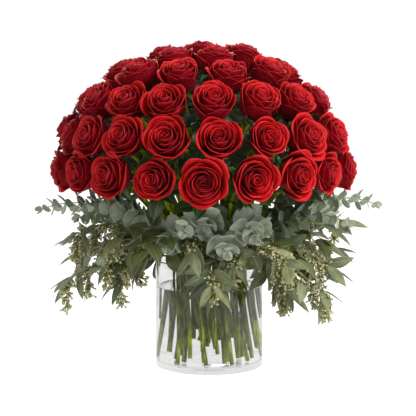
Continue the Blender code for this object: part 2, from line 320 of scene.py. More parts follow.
def merge(shapes):
    points, quads, tints, count = [], [], [], 0
    for shape in shapes:
        points.append(shape[0])
        quads.append(shape[1] + count)
        tints.append(shape[2])
        count += len(shape[0])
    return np.concatenate(points), np.concatenate(quads), np.concatenate(tints)


def moved(shape, matrix):
    turn = np.array(matrix)
    return shape[0] @ turn[:3, :3].T + turn[:3, 3], shape[1], shape[2]


def ripple(grid, size, scale, seed):
    """Pushes the points of a grid about by smooth noise."""
    flat = grid.reshape(-1, 3)
    shift = np.array([noise.noise_vector(Vector(point) * scale + Vector((seed, 0, 0))) for point in flat])
    return grid + shift.reshape(grid.shape) * size


# ------------------------------------------------------------------ roses

PETALS = 30
PETAL_THICKNESS = 0.00035
SEPAL_THICKNESS = 0.0005
LEAF_THICKNESS = 0.0004
SPIRAL_STEP = math.radians(138.5)


def petal_line(share, place, openness, fullness):
    """Distance from the bloom's axis and height along the middle of a petal that bellies out from the hip."""
    body = 0.0030 + 0.0205 * place ** 1.06
    closing = 0.45 + (0.45 + 0.10 * fullness) * min(1.0, place / 0.42) + 0.06 * max(0.0, place - 0.7)
    tip = body * closing + 0.0068 * openness * place ** 2.6
    foot = (0.0024 + 0.0010 * place, 0.0062)
    belly = (body * 1.24, 0.0085 + 0.0045 * (1 - place))
    chest = (body * (1.02 + 0.04 * place), 0.0330 - 0.0010 * place)
    top = (tip, 0.0445 + 0.0040 * math.sin(math.pi * min(1.0, place * 1.4)) - 0.0060 * openness * place ** 3)
    weights = ((1 - share) ** 3, 3 * share * (1 - share) ** 2, 3 * share ** 2 * (1 - share), share ** 3)
    reach = sum(weight * point[0] for weight, point in zip(weights, (foot, belly, chest, top)))
    height = sum(weight * point[1] for weight, point in zip(weights, (foot, belly, chest, top)))
    return reach, height


def petal(chance, place, openness, fullness):
    """One petal. Place runs from 0 at the heart to 1 outside; the blade turns about the bloom's +Z axis."""
    columns, rows = (11, 10) if place < 0.45 else (17, 13)
    across = np.linspace(-1, 1, columns)[None, :]
    along = np.linspace(0, 1, rows)[:, None]
    skew = chance.uniform(-0.15, 0.15)
    side = np.abs(across - skew)
    fall = 0.06 + 0.17 * place
    peak = 0.035 * place * np.exp(-((across - skew) / 0.20) ** 2) * along ** 3
    share = along * (1 - fall * side ** 2.5 + peak) * chance.uniform(0.965, 1.02)
    reach, height = petal_line(share, place, openness * chance.uniform(0.80, 1.15), fullness)
    late = np.clip((share - 0.60) / 0.40, 0, 1)
    roll = (0.0006 + 0.0068 * place ** 1.4) * chance.uniform(0.4, 1.3) * side ** 2.2 * late ** 1.2
    lip = (0.0003 + 0.0034 * place ** 1.2) * chance.uniform(0.4, 1.4) * late ** 4
    reach = reach + roll * 0.85 + lip
    height = height - roll * 0.75 - lip * 0.75
    width = math.radians(112 - 56 * place ** 0.8) * chance.uniform(0.92, 1.08)
    spread = 0.28 + 0.72 * np.sin(np.clip(share / 0.55, 0, 1) * np.pi / 2)
    spread = spread * (1 - (0.10 + 0.26 * place) * np.clip((along - 0.6) / 0.4, 0, 1) ** 2)
    reach = reach + across * (0.0005 + 0.0004 * place)
    turn = across * width * spread + 0.20 * (1 - place) * along
    grid = np.stack([reach * np.cos(turn), reach * np.sin(turn), height + 0 * across], 2)
    edge = np.clip(along * 1.3 - 0.3, 0, 1)[..., None]
    grid = grid + (ripple(grid, 0.0004 + 0.0019 * place, 52, chance.uniform(0, 90)) - grid) * edge
    tints = np.empty((rows, columns, 4))
    tints[..., 0] = along
    tints[..., 1] = np.abs(across)
    tints[..., 2] = chance.random()
    tints[..., 3] = 1
    return sheet(grid[:, ::-1], PETAL_THICKNESS, tints[:, ::-1])


def bloom(seed, openness, fullness):
    """A whole bloom about +Z, its calyx's foot at the origin."""
    chance = random.Random(seed)
    petals = []
    turn = chance.uniform(0, 2 * math.pi)
    for number in range(PETALS):
        place = number / (PETALS - 1)
        turn += SPIRAL_STEP + chance.uniform(-0.16, 0.16)
        tilt = Matrix.Rotation(chance.uniform(-0.06, 0.03) * place, 4, "Y")
        shape = petal(chance, place, openness, fullness)
        petals.append(moved(shape, Matrix.Rotation(turn, 4, "Z") @ tilt))
    return merge(petals)


def sepal(chance):
    """A narrow green sepal that hugs the bloom or curls back from it."""
    rows, columns = 9, 5
    across = np.linspace(-1, 1, columns)[None, :]
    along = np.linspace(0, 1, rows)[:, None]
    length = chance.uniform(0.024, 0.032)
    half = 0.0052 * np.sin(np.pi * np.clip(along * 0.86 + 0.14, 0, 1)) ** 0.8 * (1 - 0.4 * along)
    start = math.radians(70)
    end = math.radians(chance.choice((25, 60, 115, 140)))
    angle = start + (end - start) * along ** 1.3
    step = length / (rows - 1)
    reach = 0.0042 + np.cumsum(np.sin(angle), axis=0) * step
    height = 0.0062 + np.cumsum(np.cos(angle), axis=0) * step
    cupped = height + 0.15 * np.abs(across) * half
    grid = np.stack(np.broadcast_arrays(reach + 0 * across, across * half, cupped), 2)
    tints = np.ones((rows, columns, 4))
    tints[..., 0] = along
    tints[..., 1] = np.abs(across)
    return sheet(grid[:, ::-1], SEPAL_THICKNESS, tints)


def calyx(chance):
    """The green hip under the bloom with its five sepals."""
    heights = (0.0, 0.0025, 0.0050, 0.0080, 0.0100)
    radii = (0.0030, 0.0045, 0.0062, 0.0060, 0.0030)
    shapes = [lathe_along([(0, 0, height) for height in heights], radii, 12)]
    for number in range(5):
        turn = 2 * math.pi * number / 5 + chance.uniform(-0.15, 0.15)
        shapes.append(moved(sepal(chance), Matrix.Rotation(turn, 4, "Z")))
    return merge(shapes)


# ------------------------------------------------------------------ leaves

def leaf_outline(kind, along):
    if kind == "round":
        return np.sqrt(np.clip(1 - (2 * along - 1) ** 2, 0, 1)) ** 0.9 + 0.02
    if kind == "lance":
        return np.sin(np.pi * np.clip(along, 0, 1) ** 0.90) ** 0.95 + 0.02
    if kind == "salal":
        return np.sin(np.pi * along ** 0.62) ** 0.85 * (1 - 0.25 * along ** 3) + 0.02
    return np.sin(np.pi * along ** 0.72) ** 0.9 + 0.02


def leaf(chance, kind, length, width, droop=0.4, fold=0.25):
    """A leaf from the origin along +Y with its face up, drooping towards its tip and folded at its midrib."""
    rows, columns = 11, 9 if kind == "round" else 7
    across = np.linspace(-1, 1, columns)[None, :]
    along = np.linspace(0, 1, rows)[:, None]
    if kind == "round":
        along = (1 - np.cos(np.pi * along)) / 2
    half = width / 2 * leaf_outline(kind, along)
    angle = -chance.uniform(0.4, 1.5) * droop * along ** 1.4
    step = np.diff(along, axis=0, prepend=0) * length
    forward = np.cumsum(np.cos(angle) * step, axis=0)
    height = np.cumsum(np.sin(angle) * step, axis=0)
    cup = fold * chance.uniform(0.4, 1.4)
    x = across * half * math.cos(cup)
    z = height + np.abs(across) * half * math.sin(cup) * (1 - 0.4 * along)
    y = forward + 0 * across
    if kind == "rose":
        teeth = (np.arange(rows)[:, None] % 2) * 0.05 * np.abs(across)
        x = x * (1 + teeth)
    grid = np.stack(np.broadcast_arrays(x, y, z), 2)
    grid = ripple(grid, length * 0.03, 38, chance.uniform(0, 90))
    grid = grid - grid[0, columns // 2]
    tints = np.empty((rows, columns, 4))
    tints[..., 0] = along
    tints[..., 1] = np.abs(across)
    tints[..., 2] = chance.random()
    tints[..., 3] = 1
    return sheet(grid, LEAF_THICKNESS, tints)


def aim(origin, direction, face, roll=0.0):
    """A matrix that takes +Y to the direction and +Z as near to the face as it can."""
    y = Vector(direction).normalized()
    x = y.cross(Vector(face))
    if x.length < 1e-6:
        x = y.orthogonal()
    x.normalize()
    z = x.cross(y)
    basis = Matrix((x, y, z)).transposed().to_4x4()
    return Matrix.Translation(origin) @ basis @ Matrix.Rotation(roll, 4, "Y")


def rose_leaf(chance):
    """A compound leaf of three toothed leaflets along +Y."""
    stalk = chance.uniform(0.022, 0.030)
    shapes = [lathe_along([(0, 0, 0), (0, stalk * 0.5, 0.001), (0, stalk, 0)], (0.0009, 0.0008, 0.0006), 6)]
    tip = leaf(chance, "rose", chance.uniform(0.028, 0.036), chance.uniform(0.018, 0.023), 0.6)
    shapes.append(moved(tip, Matrix.Translation((0, stalk, 0))))
    for side in (-1, 1):
        blade = leaf(chance, "rose", chance.uniform(0.024, 0.031), chance.uniform(0.015, 0.020), 0.5)
        turn = Matrix.Rotation(-side * chance.uniform(0.9, 1.2), 4, "Z")
        shapes.append(moved(blade, Matrix.Translation((0, stalk * 0.62, 0)) @ turn))
    return merge(shapes)


# ------------------------------------------------------------------ sprigs

SPRIG_RADIUS = 0.0018
SPRIG_ARCH = 0.030
# (kind, azimuth in degrees, reach in dome radii, height of the tip above the rim in depths)
SPRIGS = (
    ("dollar", -88, 1.21, 0.76),
    ("seeded", -64, 1.05, -0.11),
    ("salal", -45, 0.85, 0.48),
    ("dollar", -15, 0.68, 0.57),
    ("seeded", 2, 0.58, -0.21),
    ("dollar", 26, 0.72, 0.47),
    ("seeded", 50, 1.00, -0.26),
    ("salal", 68, 0.90, 0.53),
    ("dollar", 92, 1.21, 0.82),
    ("seeded", 122, 1.10, 0.00),
    ("salal", 178, 0.90, 0.47),
    ("seeded", -120, 1.10, 0.00),
)
SIDE_TWIGS = {
    "dollar": ((-16, 0.84, -0.22), (15, 0.80, 0.05)),
    "seeded": ((-13, 0.90, 0.46), (14, 0.92, 0.22), (4, 0.66, -0.06)),
    "salal": ((-15, 0.86, -0.30), (13, 0.92, -0.16)),
}
# the point of a twig's centre line where its side twigs leave it
FORK = 7
UP = Vector((0, 0, 1))


def sprig_path(azimuth, reach, rise, steps=12):
    """A twig's centre line from the vase's floor, over the rim and out to its tip."""
    neck_azimuth = azimuth - NECK_TWIST - math.atan(STEM_LEAN * (NECK - WAIST))
    start = ruling(WAIST_RING, neck_azimuth, NECK)
    start_reach = math.hypot(start.x, start.y)
    tip = Vector((reach, VASE_HEIGHT + rise))
    crest = VASE_HEIGHT + max(rise, 0) * 0.45 + SPRIG_ARCH * 0.6
    flat = [
        Vector((start_reach, start.z)),
        Vector((start_reach + 0.012, crest)),
        Vector((start_reach + (reach - start_reach) * 0.6, tip.y + SPRIG_ARCH)),
        tip,
    ]
    foot = foot_of(WAIST_RING, neck_azimuth, SPRIG_RADIUS, SPRIG_CUT_RISE)
    points = under_water(WAIST_RING, foot, start)
    for step in range(1, steps + 1):
        share = step / steps
        flat_reach, height = bezier(flat, share)
        points.append(polar(flat_reach, azimuth - NECK_TWIST * (1 - share) ** 2, height))
    return points


def along_path(points, distance):
    """The point this far along a path and the path's direction there."""
    for first, second in zip(points, points[1:]):
        length = (second - first).length
        if distance <= length:
            return first.lerp(second, distance / length), (second - first).normalized()
        distance -= length
    return points[-1], (points[-1] - points[-2]).normalized()


def path_length(points):
    return sum((b - a).length for a, b in zip(points, points[1:]))


def dollar_leaves(build, chance, points, start):
    """Round leaves in pairs, each pair turned a quarter from the last, smaller towards the tip."""
    total = path_length(points)
    distance = start
    quarter = chance.uniform(0, math.pi)
    while distance < total:
        share = (distance - start) / (total - start)
        size = (0.033 - 0.022 * share ** 1.5) * chance.uniform(0.84, 1.12)
        point, along = along_path(points, distance)
        side = along.cross(UP).normalized()
        up = side.cross(along)
        for half in (0, math.pi):
            turn = quarter + half + chance.uniform(-0.3, 0.3)
            out = side * math.cos(turn) + up * math.sin(turn)
            frame_here = aim(point, out + along * chance.uniform(0.15, 0.7), along * -0.6 + UP * 0.5)
            blade = leaf(chance, "round", size, size * chance.uniform(0.95, 1.12), 0.35, 0.12)
            build.add(blade, 1, frame_here)
        quarter += math.pi / 2 + chance.uniform(-0.25, 0.25)
        distance += LEAF_SPACING["dollar"] * (1 - 0.35 * share)
    point, along = along_path(points, total)
    for turn in (0.4, 2.5, 4.4):
        side = along.cross(UP).normalized()
        out = side * math.cos(turn) + side.cross(along) * math.sin(turn)
        build.add(leaf(chance, "round", 0.011, 0.009, 0.2, 0.4), 1, aim(point, along + out * 0.45, out))


CAPSULE_HEIGHTS = (0.0, 0.0011, 0.0026, 0.0040, 0.0050, 0.0057)
CAPSULE_RADII = (0.0005, 0.0009, 0.0014, 0.0017, 0.0015, 0.0006)


def seed_bunch(build, chance, point, along, count):
    """A forked bunch of top-shaped capsules on thin stalks."""
    for _ in range(count):
        spread = Vector([chance.gauss(0, 1) for _ in range(3)]).normalized()
        out = (spread + along * 0.75 + Vector((0, 0, -0.30))).normalized()
        stalk = chance.uniform(0.002, 0.0095)
        size = chance.uniform(0.80, 1.20)
        place = aim(point + out * stalk, out, UP) @ Matrix.Rotation(math.radians(-90), 4, "X")
        axis = [(0, 0, height * size) for height in CAPSULE_HEIGHTS]
        shape = lathe_along(axis, [radius * size for radius in CAPSULE_RADII], 7)
        build.add(shape, 2, place, chance.random())
        build.add(lathe_along([point, point + out * (stalk + 0.0004)], (0.0006, 0.0005), 5), 0)


def tassel(build, chance, point, out, length):
    """A side stalk that bends over and hangs, crowded with capsules, with one leaf near its top."""
    down = Vector((0, 0, -1))
    path = [point]
    steps = 8
    for step in range(1, steps + 1):
        line = out.lerp(down, min(1.0, step / steps * 1.3)).normalized()
        path.append(path[-1] + line * length / steps)
    build.add(lathe_along(path, np.linspace(0.0010, 0.0005, len(path)), 6), 0)
    for step in range(2, steps + 1):
        line = (path[step] - path[step - 1]).normalized()
        seed_bunch(build, chance, path[step], line, chance.randint(7, 11))
    side = chance.choice((-1, 1))
    size = chance.uniform(0.036, 0.048)
    direction = out.cross(UP) * side * chance.uniform(0.3, 0.9) + out * chance.uniform(0.2, 0.9)
    direction += down * chance.uniform(0.3, 1.3)
    blade = leaf(chance, "lance", size, size * chance.uniform(0.31, 0.38), 0.30, 0.15)
    start = path[chance.randint(1, 3)]
    build.add(blade, 1, aim(start, direction, out + UP * 0.5, chance.uniform(-0.4, 0.4)))


def seeded_leaves(build, chance, points, start):
    """Long leaves one after another, with bunches of capsules and hanging tassels along the outer half."""
    total = path_length(points)
    distance = start
    number = 0
    while distance < total + 0.001:
        share = (distance - start) / (total - start)
        point, along = along_path(points, distance)
        side = along.cross(UP).normalized()
        up = side.cross(along)
        for half in (0, math.pi) if share < 0.5 else (0,):
            turn = number * 2.4 + half + chance.uniform(-0.4, 0.4)
            out = side * math.cos(turn) + up * math.sin(turn) * 0.55
            length = chance.uniform(0.040, 0.055) * (1 - 0.15 * share)
            direction = out + along * chance.uniform(0.3, 0.9) - UP * chance.uniform(0.0, 0.6)
            blade = leaf(chance, "lance", length, length * chance.uniform(0.33, 0.41), 0.35, 0.18)
            build.add(blade, 1, aim(point, direction, UP * 0.5 + along, chance.uniform(-0.5, 0.5)))
        if share > 0.30:
            seed_bunch(build, chance, point, along, chance.randint(11, 15))
        if number % 2 == 1 and share > 0.25:
            out = (along + side * chance.uniform(-0.7, 0.7)).normalized()
            tassel(build, chance, point, out, chance.uniform(0.030, 0.054))
        number += 1
        distance += LEAF_SPACING["seeded"]
    point, along = along_path(points, total)
    for spread in (-0.5, 0.6):
        size = chance.uniform(0.038, 0.048)
        direction = along + along.cross(UP).normalized() * spread * chance.uniform(0.6, 1.2)
        blade = leaf(chance, "lance", size, size * chance.uniform(0.32, 0.38), 0.25, 0.15)
        direction += UP * chance.uniform(-0.2, 0.3)
        build.add(blade, 1, aim(point, direction, UP, chance.uniform(-0.6, 0.6)))


def salal_leaves(build, chance, points, start):
    """Broad leaves to left and right along the twig."""
    total = path_length(points)
    distance = start
    number = 0
    while distance < total + 0.001:
        point, along = along_path(points, distance)
        side = along.cross(UP).normalized() * (1 if number % 2 else -1)
        direction = side + along * chance.uniform(0.5, 1.0) + UP * chance.uniform(-0.35, 0.35)
        length = chance.uniform(0.034, 0.047)
        blade = leaf(chance, "salal", length, length * chance.uniform(0.48, 0.58), 0.40, 0.15)
        build.add(blade, 1, aim(point, direction, UP + along * 0.2, chance.uniform(-0.4, 0.4)))
        number += 1
        distance += LEAF_SPACING["salal"]
    point, along = along_path(points, total)
    build.add(leaf(chance, "salal", 0.042, 0.022, 0.3, 0.15), 1, aim(point, along, UP))


LEAVES = {"dollar": dollar_leaves, "seeded": seeded_leaves, "salal": salal_leaves}
LEAF_START = {"dollar": 0.040, "seeded": 0.030, "salal": 0.030}
LEAF_SPACING = {"dollar": 0.0125, "seeded": 0.0165, "salal": 0.018}


def make_sprig(name, kind, azimuth, reach, rise, finishes):
    """One sprig: its main twig, the side twigs that leave it at the fork, and their leaves."""
    chance = random.Random(name)
    build = Builder(name + "_greens", finishes)
    main = sprig_path(math.radians(azimuth), reach * DOME_RADIUS, rise * GREENS_DEPTH)
    twigs = [main]
    for turn, length, lift in SIDE_TWIGS[kind]:
        other = sprig_path(
            math.radians(azimuth + turn * chance.uniform(0.8, 1.2)),
            reach * length * DOME_RADIUS,
            (rise + lift * chance.uniform(0.8, 1.3)) * GREENS_DEPTH,
        )
        split = [main[FORK].lerp(point, min(1, step / 3)) for step, point in enumerate(other[FORK + 1:], 1)]
        twigs.append([main[FORK]] + split)
    for number, path in enumerate(twigs):
        taper = np.linspace(1.0 if number == 0 else 0.75, 0.35, len(path)) * SPRIG_RADIUS
        build.add(lathe_along(path, taper, 8), 0)
        lead = path_length(main[:FORK + 1]) if number == 0 else 0.0
        LEAVES[kind](build, chance, path, lead + LEAF_START[kind])
    made = build.build()
    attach(made, "root")
    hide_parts(name)


# ------------------------------------------------------------------ finishes

def put(tree, socket, value):
    """Links a socket to another, or sets it to a number or a colour."""
    if isinstance(value, bpy.types.NodeSocket):
        tree.links.new(value, socket)
    elif isinstance(value, tuple) and len(value) == 3 and socket.type == "RGBA":
        socket.default_value = (*value, 1)
    else:
        socket.default_value = value


def sums(tree, operation, first, second=0.0):
    node = tree.nodes.new("ShaderNodeMath")
    node.operation = operation
    put(tree, node.inputs[0], first)
    put(tree, node.inputs[1], second)
    return node.outputs[0]


def between(tree, value, low, high, start=0.0, end=1.0):
    """A smooth rise from start to end as the value goes from low to high."""
    node = tree.nodes.new("ShaderNodeMapRange")
    node.interpolation_type = "SMOOTHSTEP"
    numbers = {"Value": value, "From Min": low, "From Max": high, "To Min": start, "To Max": end}
    for name, number in numbers.items():
        put(tree, node.inputs[name], number)
    return node.outputs[0]


def blended(tree, share, low, high, kind="MIX"):
    node = tree.nodes.new("ShaderNodeMix")
    node.data_type = "RGBA"
    node.blend_type = kind
    put(tree, node.inputs[0], share)
    put(tree, node.inputs[6], low)
    put(tree, node.inputs[7], high)
    return node.outputs[2]


def shaded(tree, colour, share, low, high):
    """The colour multiplied by a tone between two others."""
    return blended(tree, 1.0, colour, blended(tree, share, low, high), "MULTIPLY")

def noisy(tree, scale, detail=3.0, vector=None):
    node = tree.nodes.new("ShaderNodeTexNoise")
    node.inputs["Scale"].default_value = scale
    node.inputs["Detail"].default_value = detail
    if vector is None:
        vector = tree.nodes.new("ShaderNodeTexCoord").outputs["Object"]
    tree.links.new(vector, node.inputs["Vector"])
    return node.outputs["Fac"]


def tint_of(tree):
    """The places along and across the blade, the piece's chance, and 1 on its face or 0 on its back."""
    node = tree.nodes.new("ShaderNodeAttribute")
    node.attribute_name = "tint"
    parts = tree.nodes.new("ShaderNodeSeparateColor")
    tree.links.new(node.outputs["Color"], parts.inputs[0])
    return parts.outputs[0], parts.outputs[1], parts.outputs[2], node.outputs["Alpha"]


def joined(tree, x, y, z):
    node = tree.nodes.new("ShaderNodeCombineXYZ")
    for socket, value in zip(node.inputs, (x, y, z)):
        put(tree, socket, value)
    return node.outputs[0]


def bumped(tree, shader, height, strength, distance):
    node = tree.nodes.new("ShaderNodeBump")
    node.inputs["Strength"].default_value = strength
    node.inputs["Distance"].default_value = distance
    tree.links.new(height, node.inputs["Height"])
    tree.links.new(node.outputs["Normal"], shader.inputs["Normal"])


def new_finish(name, **settings):
    made = bpy.data.materials.new(name)
    made.use_nodes = True
    tree = made.node_tree
    shader = tree.nodes["Principled BSDF"]
    for label, value in settings.items():
        put(tree, shader.inputs[label.replace("_", " ").title().replace("Ior", "IOR")], value)
    return made, tree, shader


def petal_finish():
    made, tree, shader = new_finish(
        "red_petal", specular_ior_level=0.18,
        sheen_weight=0.07, sheen_roughness=0.40, sheen_tint=(1.0, 0.30, 0.36),
        subsurface_weight=0.10, subsurface_radius=(0.006, 0.0012, 0.0012), subsurface_scale=1.0,
    )
    along, across, chance, face = tint_of(tree)
    stretches = ((across, 26.0), (along, 2.4), (chance, 40.0))
    place = [sums(tree, "MULTIPLY", value, times) for value, times in stretches]
    streaks = noisy(tree, 1.0, 4.0, joined(tree, *place))
    mottle = noisy(tree, 120.0)
    # painted shade: both sides of every petal darken from the lit red of the tip to a dark foot, standing in
    # for the shade deep in the bloom's heart
    front = blended(tree, between(tree, along, 0.15, 0.75), (0.165, 0.0006, 0.0012), (0.580, 0.0024, 0.0036))
    back = blended(tree, between(tree, along, 0.05, 0.90), (0.120, 0.0008, 0.0050), (0.280, 0.0014, 0.0095))
    colour = blended(tree, face, back, front)
    colour = shaded(tree, colour, between(tree, streaks, 0.32, 0.68), (0.80, 0.72, 0.74), (1.12, 1.15, 1.12))
    colour = shaded(tree, colour, chance, (0.84, 0.80, 0.82), (1.14, 1.30, 1.15))
    colour = shaded(tree, colour, between(tree, mottle, 0.35, 0.65), (0.92, 0.90, 0.92), (1.06, 1.08, 1.06))
    # a thin pale pink rim on every petal: partly the petal's own paler curled edge, partly a painted
    # highlight where the edges catch the light
    edge = between(tree, sums(tree, "MAXIMUM", sums(tree, "MULTIPLY", across, across), along), 0.955, 1.0)
    colour = blended(tree, sums(tree, "MULTIPLY", edge, 0.28), colour, (0.72, 0.045, 0.060))
    put(tree, shader.inputs["Base Color"], colour)
    put(tree, shader.inputs["Roughness"], between(tree, mottle, 0.3, 0.7, 0.44, 0.60))
    grain = noisy(tree, 900.0, 2.0)
    bumped(tree, shader, sums(tree, "ADD", streaks, sums(tree, "MULTIPLY", grain, 0.35)), 0.22, 0.0006)
    return made


def leaf_finish(name, face_colour, back_colour, vein_colour, veins, roughness, coat, relief, **settings):
    """A leaf: a pale midrib, side veins that sweep forward, mottling, and a paler back."""
    made, tree, shader = new_finish(name, coat_weight=coat, coat_roughness=0.25, **settings)
    along, across, chance, face = tint_of(tree)
    mottle = noisy(tree, 70.0, 4.0)
    colour = blended(tree, face, back_colour, face_colour)
    colour = shaded(tree, colour, between(tree, mottle, 0.32, 0.68), (0.72, 0.76, 0.72), (1.20, 1.14, 1.16))
    colour = shaded(tree, colour, chance, (0.72, 0.76, 0.80), (1.30, 1.22, 1.12))
    lean = sums(tree, "MULTIPLY", across, veins * 0.28)
    sweep = sums(tree, "SUBTRACT", sums(tree, "MULTIPLY", along, veins), lean)
    ridge = sums(tree, "ABSOLUTE", sums(tree, "SUBTRACT", sums(tree, "FRACT", sweep), 0.5))
    side_veins = between(tree, ridge, 0.43, 0.5)
    midrib = between(tree, across, 0.13, 0.03)
    lines = sums(tree, "MAXIMUM", midrib, sums(tree, "MULTIPLY", side_veins, 0.45))
    colour = blended(tree, sums(tree, "MULTIPLY", lines, 0.75), colour, vein_colour)
    rim = between(tree, across, 0.90, 1.0)
    colour = blended(tree, sums(tree, "MULTIPLY", rim, 0.30), colour, vein_colour)
    put(tree, shader.inputs["Base Color"], colour)
    put(tree, shader.inputs["Roughness"], between(tree, mottle, 0.3, 0.7, roughness - 0.07, roughness + 0.08))
    bumped(tree, shader, sums(tree, "SUBTRACT", sums(tree, "MULTIPLY", mottle, 0.5), lines), relief, 0.0008)
    return made


def stem_finish(name, low, high, scale):
    """A green or woody stem with long streaks."""
    made, tree, shader = new_finish(name, specular_ior_level=0.07)
    place = tree.nodes.new("ShaderNodeTexCoord").outputs["Object"]
    stretch = tree.nodes.new("ShaderNodeMapping")
    stretch.inputs["Scale"].default_value = (1, 1, 0.12)
    tree.links.new(place, stretch.inputs["Vector"])
    streaks = noisy(tree, scale, 4.0, stretch.outputs[0])
    spots = noisy(tree, scale * 0.35, 3.0)
    colour = blended(tree, between(tree, streaks, 0.33, 0.67), low, high)
    colour = shaded(tree, colour, between(tree, spots, 0.35, 0.65), (0.70, 0.74, 0.70), (1.18, 1.12, 1.10))
    put(tree, shader.inputs["Base Color"], colour)
    put(tree, shader.inputs["Roughness"], between(tree, spots, 0.3, 0.7, 0.38, 0.55))
    bumped(tree, shader, streaks, 0.4, 0.0005)
    return made


def seed_finish():
    """Green-gold capsules with a painted highlight, a pale cream band towards the shoulder, and a dark scar
    at the tip.
    """
    made, tree, shader = new_finish("seed_capsule", coat_weight=0.25, coat_roughness=0.3)
    along, _, chance, _ = tint_of(tree)
    grain = noisy(tree, 420.0)
    colour = blended(tree, chance, (0.270, 0.285, 0.070), (0.640, 0.620, 0.280))
    colour = shaded(tree, colour, grain, (0.72, 0.72, 0.66), (1.22, 1.20, 1.12))
    # painted highlight: a cream band over each capsule's shoulder, where it would catch the light
    colour = blended(tree, between(tree, along, 0.25, 0.70, 0.0, 0.7), colour, (0.80, 0.77, 0.50))
    colour = blended(tree, between(tree, along, 0.72, 0.92), colour, (0.050, 0.034, 0.016))
    put(tree, shader.inputs["Base Color"], colour)
    put(tree, shader.inputs["Roughness"], between(tree, grain, 0.3, 0.7, 0.34, 0.5))
    bumped(tree, shader, grain, 0.3, 0.0004)
    return made


def clear_finish(name, low, high, ior, scale, gloss):
    """Glass or water that also lets the lamps' light straight through."""
    made, tree, shader = new_finish(name, transmission_weight=1.0, ior=ior)
    cloud = noisy(tree, scale, 3.0)
    put(tree, shader.inputs["Base Color"], blended(tree, cloud, low, high))
    put(tree, shader.inputs["Roughness"], between(tree, cloud, 0.35, 0.75, 0.0, gloss))
    clear = tree.nodes.new("ShaderNodeBsdfTransparent")
    clear.inputs["Color"].default_value = (0.96, 0.97, 0.96, 1)
    mixed = tree.nodes.new("ShaderNodeMixShader")
    tree.links.new(tree.nodes.new("ShaderNodeLightPath").outputs["Is Shadow Ray"], mixed.inputs["Fac"])
    tree.links.new(shader.outputs[0], mixed.inputs[1])
    tree.links.new(clear.outputs[0], mixed.inputs[2])
    tree.links.new(mixed.outputs[0], tree.nodes["Material Output"].inputs["Surface"])
    return made


PETAL = petal_finish()
STEM = stem_finish("rose_stem", (0.115, 0.150, 0.003), (0.450, 0.520, 0.014), 260.0)
TWIG = stem_finish("eucalyptus_twig", (0.105, 0.110, 0.030), (0.260, 0.290, 0.085), 300.0)
ROSE_LEAF = leaf_finish("rose_leaf", (0.030, 0.080, 0.018), (0.085, 0.140, 0.060), (0.130, 0.200, 0.060), 8.0,
                        0.42, 0.30, 0.5)
DOLLAR = leaf_finish("silver_dollar_leaf",
                     (0.430, 0.510, 0.395), (0.490, 0.560, 0.450), (0.580, 0.630, 0.510), 5.0, 0.56, 0.0, 0.2,
                     sheen_weight=0.25, sheen_roughness=0.5, sheen_tint=(0.85, 0.95, 0.90))
SEEDED = leaf_finish("seeded_leaf", (0.195, 0.235, 0.120), (0.330, 0.370, 0.260), (0.330, 0.365, 0.205), 12.0,
                     0.55, 0.0, 0.15)
SALAL = leaf_finish("salal_leaf", (0.120, 0.160, 0.048), (0.210, 0.245, 0.125), (0.220, 0.260, 0.095), 6.0,
                    0.52, 0.04, 0.3)
SEED = seed_finish()
GLASS = clear_finish("clear_glass", (0.985, 0.990, 0.988), (0.996, 0.999, 0.997), 1.50, 9.0, 0.012)
WATER = clear_finish("clear_water", (0.985, 0.990, 0.980), (0.996, 0.998, 0.994), 1.333, 14.0, 0.006)


# ------------------------------------------------------------------ vase and water

VASE_SIDES = 128
WATER_OVERLAP = 0.0002
MENISCUS = 0.0014
# rings this near each end of a straight wall keep its shading, and so its refraction, straight
WALL_RING = 0.0010
FOOT_EDGE = 0.0024
WELL_EDGE = 0.0040
WELL_DIP = 0.0004
HOLLOW_RADIUS = 0.034
HOLLOW_DEPTH = 0.0006
MENISCUS_REACH = 0.0040
MENISCUS_STEPS = 8


def corner(centre_radius, centre_height, size, start, end, steps=6):
    """Points (radius, height) of a rounded edge, between two angles in degrees."""
    made = []
    for step in range(steps + 1):
        angle = math.radians(start + (end - start) * step / steps)
        made.append((centre_radius + size * math.cos(angle), centre_height + size * math.sin(angle)))
    return made


def turned(profile, sides):
    """A closed turned shape from a profile that starts and ends on the axis."""
    turn = np.arange(sides) * 2 * np.pi / sides
    rings = [np.stack([r * np.cos(turn), r * np.sin(turn), np.full(sides, h)], 1) for r, h in profile[1:-1]]
    points = np.concatenate(rings + [[(0, 0, profile[0][1])], [(0, 0, profile[-1][1])]])
    return points, tube_quads(len(rings), sides), np.tile(PLAIN_TINT, (len(points), 1))


def make_vase():
    """The glass: a thick flat foot, a straight wall and a fire-polished rim."""
    rim = VASE_WALL / 2
    wall_top = VASE_HEIGHT - rim
    well = VASE_BASE + WELL_EDGE
    profile = [(0.0, HOLLOW_DEPTH), (HOLLOW_RADIUS - 0.004, HOLLOW_DEPTH), (HOLLOW_RADIUS, 0.0)]
    profile += corner(VASE_RADIUS - FOOT_EDGE, FOOT_EDGE, FOOT_EDGE, -90, 0)
    profile += [(VASE_RADIUS, FOOT_EDGE + WALL_RING), (VASE_RADIUS, wall_top - WALL_RING)]
    profile += corner(VASE_RADIUS - rim, wall_top, rim, 0, 180, 12)
    profile += [(INNER_RADIUS, wall_top - WALL_RING), (INNER_RADIUS, well + WALL_RING)]
    profile += corner(INNER_RADIUS - WELL_EDGE, well, WELL_EDGE, 0, -90)
    profile.append((0.0, VASE_BASE - WELL_DIP))
    build = Builder("glass_vase", [GLASS])
    build.add(turned(profile, VASE_SIDES), 0)
    made = build.build()
    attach(made, "root")
    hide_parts("vase")


